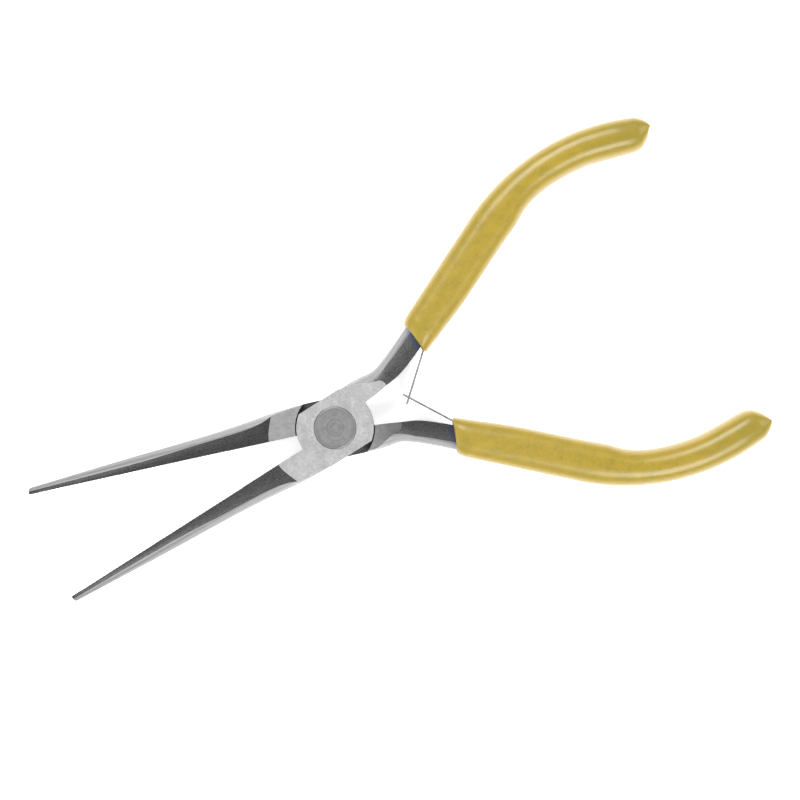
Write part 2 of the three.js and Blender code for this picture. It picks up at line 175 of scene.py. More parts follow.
def quadratic(start, pull, end, count):
    """Points on a curve that leaves start towards pull and arrives at end from it."""
    start, pull, end = (np.array(point, float) for point in (start, pull, end))
    ts = np.linspace(0, 1, count)[:, None]
    return start * (1 - ts) ** 2 + 2 * pull * ts * (1 - ts) + end * ts**2


class Edge:
    """A polyline that gives the point at a share of its length."""

    def __init__(self, points):
        self.points = np.array(points, float)
        lengths = np.linalg.norm(np.diff(self.points, axis=0), axis=1)
        self.share = np.concatenate([[0], np.cumsum(lengths)])
        self.length = self.share[-1]
        self.share = self.share / self.length

    def at(self, share):
        return np.array([np.interp(share, self.share, axis) for axis in self.points.T])


BACK_SPREAD = math.radians(65)
CROWN = 0.26


def forged_section(width, half_height, ridge_share, flank_steps=6, back_steps=22):
    """[across, up] outline of a jaw or tang: flat inner face, falling flanks and a round back."""
    ridge = width * ridge_share

    def crown(share):
        return half_height - CROWN * share**2

    flank = [[ridge * s, crown(s)] for s in np.linspace(0, 1, flank_steps + 1)]
    back_across = (width - ridge) / (1 - math.cos(BACK_SPREAD))
    back_up = crown(1) / math.sin(BACK_SPREAD)
    back = [
        [width - back_across * (1 - math.cos(a)), back_up * math.sin(a)]
        for a in np.linspace(BACK_SPREAD, -BACK_SPREAD, back_steps + 1)
    ]
    lower = [[across, -up] for across, up in reversed(flank)]
    return flank[:-1] + back + lower[1:]


def rounded_section(width, half_height, power, count):
    """[across, up] outline of a sleeve: a superellipse, boxier as the power rises."""
    angles = np.arange(count) * 2 * math.pi / count
    sides, ups = np.cos(angles), np.sin(angles)
    across = width / 2 * (1 - np.sign(sides) * np.abs(sides) ** (2 / power))
    up = half_height * np.sign(ups) * np.abs(ups) ** (2 / power)
    return np.stack([across, up], 1)


def evened(section, count):
    """The outline with count points spread evenly round it, from the middle of its inner face."""
    closed = np.array([[section[0][0], 0], *section, [section[0][0], 0]])
    edge = Edge(closed)
    return np.array([edge.at(i / count) for i in range(count)])


def ring(inner, outer, section):
    """The section set on the line from an inner to an outer edge point, as 3-D points."""
    across = (outer - inner) / np.linalg.norm(outer - inner)
    return [(*(inner + across * a), MIDDLE + up) for a, up in section]


# ---------------------------------------------------------------- meshes


def mesh_object(name, verts, faces):
    mesh = bpy.data.meshes.new(name)
    mesh.from_pydata([tuple(v) for v in verts], [], faces)
    mesh.validate()
    obj = bpy.data.objects.new(name, mesh)
    bpy.context.scene.collection.objects.link(obj)
    return obj


def turned_outwards(obj):
    """Faces made to point out of the closed mesh."""
    bm = bmesh.new()
    bm.from_mesh(obj.data)
    bmesh.ops.recalc_face_normals(bm, faces=bm.faces)
    bm.to_mesh(obj.data)
    bm.free()
    return obj


def skin(name, rings):
    """A closed solid skinned over rings with the same number of points."""
    size = len(rings[0])
    faces = []
    for i in range(len(rings) - 1):
        for j in range(size):
            k = (j + 1) % size
            faces.append((i * size + j, i * size + k, (i + 1) * size + k, (i + 1) * size + j))
    faces.append(tuple(range(size)))
    last = (len(rings) - 1) * size
    faces.append(tuple(last + j for j in reversed(range(size))))
    return turned_outwards(mesh_object(name, [p for r in rings for p in r], faces))


def prism(name, outline, bottom, top):
    """A closed solid of a flat outline between two heights."""
    return skin(name, [[(x, y, z) for x, y in outline] for z in (bottom, top)])


def circle(radius, count=160, start=0.0, turn=2 * math.pi):
    """Points round an arc; a full turn leaves out the doubled last point."""
    ends = count if turn >= 2 * math.pi else count - 1
    angles = start + turn * np.arange(count) / ends
    return [(radius * math.cos(a), radius * math.sin(a)) for a in angles]


def apply_modifiers(obj):
    """The object's mesh, with its modifiers worked into it."""
    graph = bpy.context.evaluated_depsgraph_get()
    mesh = bpy.data.meshes.new_from_object(obj.evaluated_get(graph), depsgraph=graph)
    old = obj.data
    obj.modifiers.clear()
    obj.data = mesh
    bpy.data.meshes.remove(old)
    return obj


def combine(obj, operation, other):
    """Joins, cuts or intersects the object with another, which is used up."""
    modifier = obj.modifiers.new("combine", "BOOLEAN")
    modifier.operation = operation
    modifier.solver = "MANIFOLD"
    modifier.object = other
    apply_modifiers(obj)
    bpy.data.objects.remove(other)
    return obj


def eased(obj, width, angle=30, segments=2):
    """Fine broken edges, as any ground or pressed part has."""
    modifier = obj.modifiers.new("eased_edges", "BEVEL")
    modifier.width = width
    modifier.segments = segments
    modifier.limit_method = "ANGLE"
    modifier.angle_limit = math.radians(angle)
    modifier.use_clamp_overlap = True
    modifier.miter_outer = "MITER_SHARP"
    return apply_modifiers(obj)


def cleaned(obj, flat_angle=0.02, merge=1e-4):
    """Slivers merged and coplanar triangles joined, so that edges can be eased evenly."""
    bm = bmesh.new()
    bm.from_mesh(obj.data)
    bmesh.ops.remove_doubles(bm, verts=bm.verts, dist=merge)
    bmesh.ops.dissolve_degenerate(bm, edges=bm.edges, dist=merge)
    bmesh.ops.dissolve_limit(
        bm, angle_limit=math.radians(flat_angle), verts=bm.verts, edges=bm.edges
    )
    bm.to_mesh(obj.data)
    bm.free()
    return obj


def smooth_by_angle(obj, angle=25):
    """Smooth shading, with hard edges where faces meet at more than the angle."""
    mesh = obj.data
    mesh.polygons.foreach_set("use_smooth", [True] * len(mesh.polygons))
    bm = bmesh.new()
    bm.from_mesh(mesh)
    limit = math.radians(angle)
    for edge in bm.edges:
        edge.smooth = len(edge.link_faces) == 2 and edge.calc_face_angle() < limit
    bm.to_mesh(mesh)
    bm.free()
    modifier = obj.modifiers.new("flat_faces_first", "WEIGHTED_NORMAL")
    modifier.keep_sharp = True
    modifier.weight = 100
    return apply_modifiers(obj)


def dress(obj, *materials):
    """Gives the mesh its materials, in the order of its face indices."""
    obj.data.materials.clear()
    for material in materials:
        obj.data.materials.append(material)
    return obj


def keep_place(obj):
    """Stores each point's place in the half frame, in millimetres, for the materials."""
    mesh = obj.data
    place = mesh.attributes.new("half_place", "FLOAT_VECTOR", "POINT")
    points = np.zeros(len(mesh.vertices) * 3, np.float32)
    mesh.vertices.foreach_get("co", points)
    place.data.foreach_set("vector", points)
    return obj


def set_in_part(obj, half_frame):
    """Moves the mesh from the half frame into the part's frame."""
    obj.data.transform(half_frame)
    return obj


# ---------------------------------------------------------------- node helpers


class Material:
    """A Principled material and short ways to add nodes to it."""

    def __init__(self, name, **values):
        self.material = bpy.data.materials.new(name)
        self.material.use_nodes = True
        self.tree = self.material.node_tree
        self.shader = self.tree.nodes["Principled BSDF"]
        for socket, value in values.items():
            self.shader.inputs[socket.replace("_", " ")].default_value = value

    def node(self, kind, **settings):
        node = self.tree.nodes.new(kind)
        for key, value in settings.items():
            setattr(node, key, value)
        return node

    def link(self, output, target):
        self.tree.links.new(output, target)

    def place(self):
        """The half frame's place, in millimetres."""
        return self.node("ShaderNodeAttribute", attribute_name="half_place").outputs["Vector"]

    def object_mm(self):
        """The place in the part's frame, in millimetres."""
        coordinates = self.node("ShaderNodeTexCoord").outputs["Object"]
        return self.scaled(coordinates, (1 / MM, 1 / MM, 1 / MM))

    def upright_share(self):
        """How squarely the surface faces up or down, from 0 on its sides to 1."""
        normal = self.node("ShaderNodeTexCoord").outputs["Normal"]
        return self.math("ABSOLUTE", self.axis(normal, "Z"), 0)

    def scaled(self, vector, scale):
        mapping = self.node("ShaderNodeMapping")
        mapping.inputs["Scale"].default_value = scale
        self.link(vector, mapping.inputs["Vector"])
        return mapping.outputs["Vector"]

    def noise(self, vector, scale, detail=3.0, roughness=0.55):
        noise = self.node("ShaderNodeTexNoise")
        noise.inputs["Scale"].default_value = scale
        noise.inputs["Detail"].default_value = detail
        noise.inputs["Roughness"].default_value = roughness
        self.link(vector, noise.inputs["Vector"])
        return noise.outputs["Fac"]

    def range(self, value, low, high, to_low, to_high):
        node = self.node("ShaderNodeMapRange")
        for socket, number in zip(node.inputs[1:5], (low, high, to_low, to_high)):
            socket.default_value = number
        self.link(value, node.inputs["Value"])
        return node.outputs["Result"]

    def math(self, operation, a, b):
        node = self.node("ShaderNodeMath", operation=operation)
        for socket, value in zip(node.inputs, (a, b)):
            if isinstance(value, (int, float)):
                socket.default_value = value
            else:
                self.link(value, socket)
        return node.outputs["Value"]

    def axis(self, vector, name):
        node = self.node("ShaderNodeSeparateXYZ")
        self.link(vector, node.inputs["Vector"])
        return node.outputs[name]

    def mix(self, factor, a, b):
        node = self.node("ShaderNodeMix", data_type="RGBA")
        for index, value in ((0, factor), (6, a), (7, b)):
            if isinstance(value, (int, float, tuple)):
                node.inputs[index].default_value = value
            else:
                self.link(value, node.inputs[index])
        return node.outputs[2]

    def bump(self, height, strength, distance):
        node = self.node("ShaderNodeBump")
        node.inputs["Strength"].default_value = strength
        node.inputs["Distance"].default_value = distance
        self.link(height, node.inputs["Height"])
        self.link(node.outputs["Normal"], self.shader.inputs["Normal"])

    def set(self, socket, output):
        self.link(output, self.shader.inputs[socket])


def grey(value, tint=(1, 1, 1)):
    """An opaque grey, or a tinted one."""
    return (value * tint[0], value * tint[1], value * tint[2], 1)


# ---------------------------------------------------------------- materials

BLUED_FROM = -21.9  # along the half: the heat tint shows from here to the sleeve


def ground_cheek(name, tone, dark_end=None):
    """Surface-ground steel: crossing fine scratches over a soft mottle; with a dark end, painted
    shade that deepens towards the tang.
    """
    m = Material(name, Metallic=1.0)
    place = m.place()
    mottle = m.noise(place, 1.9, 6, 0.78)
    lines = m.noise(m.scaled(place, (1.6, 14, 1)), 0.9, 4, 0.65)
    crossing = m.noise(m.scaled(place, (12, 2.4, 1)), 0.8, 3)
    grain = m.math("MULTIPLY", m.math("ADD", lines, crossing), 0.5)
    both = m.math("MULTIPLY", m.math("ADD", grain, mottle), 0.5)
    cloud = m.math("MULTIPLY", m.noise(place, 0.5, 3), 0.3)
    shade = m.range(m.math("ADD", both, cloud), 0.55, 0.76, 0, 1)
    dark, light = tone * 0.78, tone * 1.2
    colour = m.mix(shade, grey(dark), grey(light))
    # Painted shade: with a dark end given, the cheek darkens towards the tang.
    if dark_end is not None:
        near_tang = m.range(m.axis(place, "X"), -3, -11.5, 0, 1)
        painted_shade_colour = m.mix(shade, grey(dark_end * 0.85), grey(dark_end * 1.12))
        colour = m.mix(near_tang, colour, painted_shade_colour)
    m.set("Base Color", colour)
    m.set("Roughness", m.range(grain, 0.3, 0.7, 0.28, 0.38))
    m.bump(grain, 0.25, 0.00002)
    return m.material


def satin_flank(name, tone):
    """Dark satin flank with a fine grain, and a blued band where the sleeve was fitted hot."""
    m = Material(name, Metallic=1.0)
    place = m.place()
    grain = m.noise(m.scaled(place, (1, 2.2, 1)), 3.2, 5, 0.7)
    cloud = m.noise(place, 0.35, 3)
    colour = m.mix(m.range(grain, 0.39, 0.61, 0, 1), grey(tone * 0.52), grey(tone * 1.54))
    colour = m.mix(m.range(cloud, 0.4, 0.7, 0, 0.3), colour, grey(tone * 1.5))
    wobble = m.range(m.noise(place, 0.9, 2), 0, 1, -0.35, 0.35)
    along = m.math("ADD", m.axis(place, "X"), wobble)
    blued = m.range(along, BLUED_FROM, BLUED_FROM - 0.6, 0, 0.9)
    colour = m.mix(blued, colour, grey(tone, (0.72, 0.9, 1.5)))
    m.set("Base Color", colour)
    m.set("Roughness", m.range(grain, 0.3, 0.7, 0.34, 0.46))
    m.bump(grain, 0.3, 0.00003)
    return m.material


def polished_back(name, tone):
    """Belt-polished back of the jaws and tangs, with drawn lines along the tool, and painted shade
    in bands set by how squarely the surface faces up.
    """
    m = Material(name, Metallic=1.0)
    place = m.place()
    lines = m.noise(m.scaled(place, (0.35, 4, 4)), 1.1, 3)
    mottle = m.noise(place, 0.8, 3)
    colour = m.mix(m.range(lines, 0.3, 0.7, 0, 1), grey(tone * 0.8), grey(tone * 1.1))
    colour = m.mix(m.range(mottle, 0.3, 0.7, 0.25, 0), colour, grey(tone * 0.8))
    # Painted shade: a dark band at middle slopes, and more darkening towards the ridge, set by how
    # squarely the surface faces up.
    squarely = m.upright_share()
    above = m.range(squarely, 0.3, 0.42, 0, 1)
    below = m.range(squarely, 0.62, 0.5, 0, 1)
    painted_shade_band = m.math("MULTIPLY", m.math("MULTIPLY", above, below), 0.6)
    painted_shade_near_ridge = m.range(squarely, 0.6, 0.85, 0, 0.7)
    for share in (painted_shade_band, painted_shade_near_ridge):
        colour = m.mix(share, colour, grey(tone * 0.6))
    blued = m.range(m.axis(place, "X"), BLUED_FROM, BLUED_FROM - 0.8, 0, 0.6)
    colour = m.mix(blued, colour, grey(tone, (0.5, 0.58, 0.85)))
    m.set("Base Color", colour)
    m.set("Roughness", m.range(lines, 0.3, 0.7, 0.4, 0.52))
    m.bump(lines, 0.2, 0.00002)
    return m.material


def plain_steel(name, tone, roughness):
    """Milled steel for recesses, gripping faces and hidden pieces; in the recesses it is given a
    dark tone as painted shade.
    """
    m = Material(name, Metallic=1.0)
    place = m.object_mm()
    grain = m.noise(place, 2.4, 4, 0.6)
    share = m.range(grain, 0.3, 0.7, 0, 1)
    m.set("Base Color", m.mix(share, grey(tone * 0.8), grey(tone * 1.15)))
    m.set("Roughness", m.range(grain, 0.3, 0.7, roughness - 0.06, roughness + 0.08))
    m.bump(grain, 0.2, 0.00002)
    return m.material


def turned_rivet(tone):
    """Rivet head with faint concentric tool marks and a darker rim."""
    m = Material("turned_rivet_steel", Metallic=1.0)
    place = m.object_mm()
    flat = m.scaled(place, (1, 1, 0))
    length = m.node("ShaderNodeVectorMath", operation="LENGTH")
    m.link(flat, length.inputs[0])
    radius = length.outputs["Value"]
    marks = m.node("ShaderNodeTexNoise", noise_dimensions="1D")
    marks.inputs["Scale"].default_value = 3.4
    marks.inputs["Detail"].default_value = 3
    m.link(radius, marks.inputs["W"])
    mottle = m.noise(place, 0.9, 4, 0.6)
    both = m.math("ADD", marks.outputs["Fac"], m.math("MULTIPLY", mottle, 0.8))
    colour = m.mix(m.range(both, 0.72, 1.08, 0, 1), grey(tone * 0.82), grey(tone * 1.16))
    rim = m.range(radius, RIVET_HEAD_RADIUS - 0.6, RIVET_HEAD_RADIUS - 0.1, 0, 0.8)
    m.set("Base Color", m.mix(rim, colour, grey(tone * 0.76)))
    m.set("Roughness", m.range(both, 0.6, 1.2, 0.3, 0.4))
    m.bump(marks.outputs["Fac"], 0.3, 0.00003)
    return m.material


def spring_strip(tone):
    """Bright rolled strip, with lines along the leaf."""
    m = Material("spring_strip_steel", Metallic=1.0)
    place = m.place()
    lines = m.noise(m.scaled(place, (0.5, 0.5, 9)), 1.2, 3)
    share = m.range(lines, 0.3, 0.7, 0, 1)
    m.set("Base Color", m.mix(share, grey(tone * 0.82), grey(tone * 1.12)))
    m.set("Roughness", m.range(lines, 0.3, 0.7, 0.24, 0.38))
    m.bump(lines, 0.2, 0.00001)
    return m.material


def vinyl():
    """Soft gloss yellow vinyl, with slight colour clouds, a fine orange-peel skin and painted light:
    a brighter gold on its sides and shoulders.
    """
    m = Material("yellow_vinyl_sleeve")
    m.shader.inputs["Specular IOR Level"].default_value = 0.42
    m.shader.inputs["Coat Weight"].default_value = 0.3
    m.shader.inputs["Coat Roughness"].default_value = 0.24
    place = m.object_mm()
    cloud = m.noise(place, 0.35, 4, 0.7)
    fleck = m.noise(place, 2.4, 5, 0.75)
    olive = (0.19, 0.142, 0.004, 1)
    gold = (0.25, 0.18, 0.004, 1)
    warm = (0.303, 0.196, 0.014, 1)
    painted_side_light_gold = (0.318, 0.217, 0.012, 1)
    colour = m.mix(m.range(cloud, 0.38, 0.62, 0, 1), olive, gold)
    colour = m.mix(m.range(fleck, 0.4, 0.66, 0, 0.6), colour, warm)
    towards_end = m.range(m.axis(m.place(), "X"), -70, -81, 0, 0.8)
    colour = m.mix(towards_end, colour, olive)
    # Painted light: the sides and shoulders, which face less squarely up, are painted a brighter
    # gold.
    rim = m.range(m.upright_share(), 0.93, 0.35, 0, 1)
    m.set("Base Color", m.mix(rim, colour, painted_side_light_gold))
    peel = m.noise(place, 2.2, 3)
    worn = m.range(m.axis(m.place(), "X"), -52, -38, 0, 0.1)
    m.set("Roughness", m.math("ADD", m.range(fleck, 0.3, 0.7, 0.28, 0.4), worn))
    m.bump(peel, 0.2, 0.00005)
    return m.material


CHEEK, FLANK, BACK, RECESS, FACE = range(5)
BACK_TONE = 0.3
# Painted shade: the recesses in the joint are given a very dark tone.
RECESS_SHADE_TONE = 0.08
PLAIN_TONE = 0.4


def half_materials(side, cheek_tone, dark_end, flank_tone):
    """A half's finishes, in the order of their indices."""
    return [
        ground_cheek(f"ground_cheek_{side}", cheek_tone, dark_end),
        satin_flank(f"satin_flank_{side}", flank_tone),
        polished_back(f"polished_back_{side}", BACK_TONE),
        # Painted shade: the recess steel is dark where shade falls in the joint.
        plain_steel(f"shaded_recess_steel_{side}", RECESS_SHADE_TONE, 0.5),
        plain_steel(f"gripping_face_steel_{side}", PLAIN_TONE, 0.38),
    ]


# ---------------------------------------------------------------- the forged half

jaw_width = profile(
    [
        (-2, 6.08),
        (5, 6.06),
        (9, 5.88),
        (13, 5.52),
        (17, 4.99),
        (25, 4.17),
        (32, 3.68),
        (40, 3.17),
        (46, 2.75),
        (JAW_LENGTH, 1.45),
    ]
)
jaw_half_height = profile(
    [(-2, 8), (8, 5.75), (12.35, 4.7), (13.5, 4.5), (17.5, 4.02), (40, 2.4), (JAW_LENGTH, 1)]
)
jaw_ridge = profile(
    [
        (-2, 0.95),
        (11.5, 0.9),
        (14, 0.775),
        (16, 0.725),
        (18, 0.695),
        (26, 0.668),
        (30, 0.644),
        (35, 0.575),
        (40, 0.52),
        (46, 0.5),
        (JAW_LENGTH, 0.48),
    ]
)

TANG_OUTER = Edge(
    catmull_rom(
        [
            (1, -6.2),
            (-7, -6.15),
            (-9.6, -5.96),
            (-12.4, -5.67),
            (-16.5, -6.9),
            (-22.5, -9.45),
            (-34, -14.5),
            (-46, -19.9),
            (-56, -22.95),
            (-65, -23.7),
            (-73, -22.9),
            (-80, -20.9),
        ]
    )
)
LEAF_SEAT = np.array([LEAF_ROOT.x, LEAF_ROOT.y]) - HANDLE_INWARD * LEAF_SEAT_OFFSET
TANG_INNER = Edge(
    catmull_rom(
        [
            (1, -1.2),
            (-7.5, -1.2),
            (-13, -1.7),
            (-17, -2.25),
            (-21.5, -3.85),
            LEAF_SEAT,
            LEAF_SEAT + HANDLE_ALONG * LEAF_SEAT_LENGTH / 2,
            LEAF_SEAT + HANDLE_ALONG * LEAF_SEAT_LENGTH,
            (-46, -14.7),
            (-56, -18.4),
            (-65, -19.5),
            (-73, -18.7),
            (-79, -17.2),
        ]
    )
)
tang_half_height = profile(
    [
        (-80, 2.6),
        (-25, 3.15),
        (-20, 3.5),
        (-15.5, 4.06),
        (-12.65, 4.62),
        (-11, 4.8),
        (-9.5, 5.06),
        (-7, 5.9),
        (1, 8),
    ]
)
tang_ridge = profile(
    [(-80, 0.7), (-16, 0.695), (-13, 0.58), (-11, 0.54), (-9.5, 0.63), (-7, 0.86), (1, 0.92)]
)
TANG_STEEL_SHARE = 0.985


def jaw_solid():
    """The jaw, with fine cross grooves in its gripping face and a rounded tip."""
    half_pitch = GROOVE_PITCH / 2
    grooves = int((GROOVES_TO - GROOVES_FROM) / GROOVE_PITCH)
    grooved = GROOVES_FROM + half_pitch * np.arange(2 * grooves + 1)
    root = np.arange(-1, GROOVES_FROM - STATION_STEP / 2, STATION_STEP)
    tip_angles = np.linspace(0, math.pi / 2, 6)
    tip = JAW_LENGTH - TIP_ROUND * (1 - np.sin(tip_angles))
    stations = [(x, 0, 0) for x in root]
    stations += [(x, GROOVE_DEPTH * (i % 2), 0) for i, x in enumerate(grooved)]
    stations += [(x, 0, TIP_ROUND * (1 - math.cos(a))) for x, a in zip(tip, tip_angles)]
    rings = []
    for x, groove, blunt in stations:
        inner = np.array([x, FACE_RELIEF + blunt * 0.3])
        outer = np.array([x, jaw_width(x) - blunt])
        half_height = jaw_half_height(x) - blunt * 0.7
        section = forged_section(outer[1] - inner[1], half_height, jaw_ridge(x))
        section[0][0] = section[-1][0] = groove
        rings.append(ring(inner, outer, section))
    return skin("jaw", rings)


def tang_ring(share, clearance=0.0, inner_room=0.0):
    """The tang's section at a share of its length: inner edge, outer edge and outline."""
    inner = TANG_INNER.at(share)
    outer = TANG_OUTER.at(share)
    across = (outer - inner) / np.linalg.norm(outer - inner)
    inner = inner - across * (clearance + inner_room)
    outer = outer + across * clearance
    x = (inner[0] + outer[0]) / 2
    width = np.linalg.norm(outer - inner)
    section = forged_section(width, tang_half_height(x) + clearance, tang_ridge(x))
    return inner, outer, section


def tang_solid():
    """The tang, with finer steps where it shows than inside the sleeve."""
    visible = np.linspace(0, 0.34, 70)
    hidden = np.linspace(0.36, TANG_STEEL_SHARE, 30)
    return skin("tang", [ring(*tang_ring(share)) for share in [*visible, *hidden]])


def lap_outline():
    """The disc of the lap, cut by a flat on each side."""
    jaw_side = math.asin(LAP_FLAT_JAW_SIDE / LAP_RADIUS)
    tang_side = math.asin(LAP_FLAT_TANG_SIDE / LAP_RADIUS)
    turn = jaw_side + tang_side
    front = circle(LAP_RADIUS, 60, -tang_side, turn)
    back = circle(LAP_RADIUS, 60, math.pi - jaw_side, turn)
    return front + back


TANG_SHARES = np.linspace(0, 1, 1200)
TANG_INNER_POINTS = np.array([TANG_INNER.at(share) for share in TANG_SHARES])
TANG_OUTER_POINTS = np.array([TANG_OUTER.at(share) for share in TANG_SHARES])


def beyond_ridge(x, y):
    """Whether a place on the jaw or tang is on its round back, seen from above."""
    if x > 0:
        return y - FACE_RELIEF > jaw_ridge(x) * (jaw_width(x) - FACE_RELIEF)
    across = TANG_OUTER_POINTS - TANG_INNER_POINTS
    width = np.linalg.norm(across, axis=1)
    away = np.array([x, y]) - TANG_INNER_POINTS
    beside = np.abs(away[:, 0] * across[:, 1] - away[:, 1] * across[:, 0]) / width
    nearest = int(np.argmin(beside))
    reach = float(away[nearest] @ across[nearest]) / width[nearest]
    middle = (TANG_INNER_POINTS[nearest][0] + TANG_OUTER_POINTS[nearest][0]) / 2
    return reach > tang_ridge(middle) * width[nearest]


def region_of(centre, normal):
    """Which finish a face of the half has."""
    x, y, z = centre
    radius = math.hypot(x, y)
    on_cheek = min(abs(z), abs(z - THICKNESS)) < 0.02
    if on_cheek and abs(normal.z) > 0.99:
        return CHEEK
    in_joint = radius < SHOULDER_RADIUS + 0.05
    # Faces in the joint below the lap, and round the rivet head, take the recess steel, which is
    # painted dark as shade.
    if in_joint and (z < MIDDLE + LAP_GAP or radius < RIVET_HEAD_RADIUS + 0.2):
        return RECESS
    if x > LAP_RADIUS and normal.y < -0.8:
        return FACE
    if in_joint:
        return BACK
    facing_up = abs(normal.z) > 0.5
    return FLANK if facing_up and not beyond_ridge(x, y) else BACK


def forged_half(name, materials):
    """One half of the tool, in the half frame."""
    wide = 2 * JAW_LENGTH
    square = [(-wide, -wide), (wide, -wide), (wide, wide), (-wide, wide)]
    lap_bottom = MIDDLE + LAP_GAP / 2
    half = jaw_solid()
    half.name = half.data.name = name
    combine(half, "UNION", tang_solid())
    combine(half, "INTERSECT", prism("ground", square, 0, THICKNESS))
    combine(half, "DIFFERENCE", prism("room", circle(SHOULDER_RADIUS), -1, lap_bottom))
    combine(half, "UNION", prism("lap", lap_outline(), lap_bottom, THICKNESS))
    combine(half, "DIFFERENCE", prism("bore", circle(BORE_RADIUS, 96), -1, THICKNESS + 1))
    recess = circle(RIVET_HEAD_RADIUS + RECESS_CLEARANCE)
    recess_bottom = THICKNESS - RECESS_DEPTH
    combine(half, "DIFFERENCE", prism("recess", recess, recess_bottom, THICKNESS + 1))
    cleaned(half)
    eased(half, EASED_EDGE)
    cleaned(half, 0.01, 1e-5)
    dress(half, *materials)
    for face in half.data.polygons:
        face.material_index = region_of(face.center, face.normal)
    smooth_by_angle(half)
    return keep_place(half)


# ---------------------------------------------------------------- grips


def grip_outer_edge():
    """Rounded lip, straight run, long bend and the blunt nose at the end."""
    straight_start = GRIP_STRAIGHT_END - HANDLE_ALONG * GRIP_STRAIGHT_LENGTH
    lip = quadratic((-22.95, -10.36), (-23.25, -11), straight_start, 12)
    centre = GRIP_STRAIGHT_END + HANDLE_INWARD * GRIP_BEND_RADIUS
    first = HANDLE_SLOPE - math.pi / 2
    angles = first - np.linspace(0, GRIP_BEND_ANGLE, 90)
    bend = centre + GRIP_BEND_RADIUS * np.stack([np.cos(angles), np.sin(angles)], 1)
    nose = quadratic(bend[-1], (-85.7, -19.7), (-86.15, -17.65), 14)
    return Edge([*lip, *bend, *nose[1:]])


GRIP_INNER = Edge(
    catmull_rom(
        [
            (-23.9, -3.15),
            (-29, -5.07),
            (-36, -7.75),
            (-47, -12.62),
            (-52.5, -14.92),
            (-56, -16.7),
            (-60, -17.76),
            (-65, -18.02),
            (-71, -17.42),
            (-77, -15.68),
            (-81.5, -14.4),
            (-84.1, -15.25),
            (-85.6, -16.9),
        ]
    )
)
grip_half_thickness = profile(
    [
        (-86.5, 2.3),
        (-85.5, 3.3),
        (-83, 4.2),
        (-79, GRIP_HALF_THICKNESS),
        (-25.2, GRIP_HALF_THICKNESS),
        (-24.2, 4.35),
        (-23.4, 4),
    ]
)
grip_power = profile([(-86, 2.5), (-60, 2.5), (-46, 3), (-23, 3.2)])
GRIP_POINTS = 96
MOUTH_X = -23.45
LIP_ROUND = 0.28
GRIP_TIGHTNESS = 0.04  # daylight between sleeve and steel
CAVITY_DEPTH = 0.85
CAVITY_END = [-39, -36.5]  # along the half, where the leaf's cavity closes


def cavity_room(share):
    """Extra room on the inner side of the tang, where the leaf spring lies."""
    x = TANG_INNER.at(share)[0]
    return float(np.interp(x, CAVITY_END, [0, CAVITY_DEPTH]))


def sleeve(name):
    """A hollow grip: outer skin, rounded lip, and an inner skin close round the tang."""
    outer_edge = grip_outer_edge()
    nose, body, lip = np.linspace(1, 0.94, 16), np.linspace(0.935, 0.03, 150), [0.02, 0.01, 0]
    rings = []
    for share in [*nose, *body, *lip]:
        inner, outer = GRIP_INNER.at(share), outer_edge.at(share)
        x = (inner[0] + outer[0]) / 2
        width = np.linalg.norm(outer - inner)
        section = rounded_section(width, grip_half_thickness(x), grip_power(x), GRIP_POINTS)
        rings.append(np.array(ring(inner, outer, evened(section, GRIP_POINTS))))
    mouth_share = float(np.interp(-MOUTH_X, -TANG_OUTER.points[:, 0], TANG_OUTER.share))
    inner, outer, section = tang_ring(mouth_share, GRIP_TIGHTNESS, cavity_room(mouth_share))
    mouth = np.array(ring(inner, outer, evened(section, GRIP_POINTS)))
    rim = rings[-1]
    out_of_mouth = np.array([*-HANDLE_ALONG, 0])
    for turn in np.linspace(0, math.pi, 9)[1:-1]:
        across = (1 - math.cos(turn)) / 2
        rings.append(rim + (mouth - rim) * across + out_of_mouth * LIP_ROUND * math.sin(turn))
    for share in np.linspace(mouth_share, 0.998, 60):
        inner, outer, section = tang_ring(share, GRIP_TIGHTNESS, cavity_room(share))
        rings.append(np.array(ring(inner, outer, evened(section, GRIP_POINTS))))
    obj = skin(name, rings)
    dress(obj, VINYL)
    smooth_by_angle(obj, 50)
    return keep_place(obj)


# ---------------------------------------------------------------- rivets and leaf springs


def lathe(name, outline, count=128):
    """A closed solid turned about Z from a [radius, height] outline that starts and ends on Z."""
    verts = [(0, 0, outline[0][1]), (0, 0, outline[-1][1])]
    body = outline[1:-1]
    for radius, height in body:
        verts += [(radius * x, radius * y, height) for x, y in circle(1, count)]
    faces = []
    for j in range(count):
        k = (j + 1) % count
        faces.append((0, 2 + k, 2 + j))
        for i in range(len(body) - 1):
            low, high = 2 + i * count, 2 + (i + 1) * count
            faces.append((low + j, low + k, high + k, high + j))
        last = 2 + (len(body) - 1) * count
        faces.append((1, last + j, last + k))
    return turned_outwards(mesh_object(name, verts, faces))


def rivet():
    """The pivot rivet: two flush heads, very slightly crowned, with broken rims."""
    crown, edge = 0.04, 0.12
    shank, neck = BORE_RADIUS - 0.1, RECESS_DEPTH - 0.1
    face = [(r, crown * (r / RIVET_HEAD_RADIUS) ** 2) for r in np.linspace(0, 4.1, 12)]
    rim = [
        (RIVET_HEAD_RADIUS - edge * (1 - math.sin(a)), crown + edge * (1 - math.cos(a)))
        for a in np.linspace(0, math.pi / 2, 5)
    ]
    under = [(RIVET_HEAD_RADIUS, neck - edge), (RIVET_HEAD_RADIUS - edge, neck), (shank, neck)]
    low = face + rim + under
    outline = low + [(r, THICKNESS - z) for r, z in reversed(low)]
    obj = lathe("rivet_body", outline)
    obj.data.transform(Matrix.Scale(MM, 4))
    dress(obj, RIVET)
    return smooth_by_angle(obj, 35)


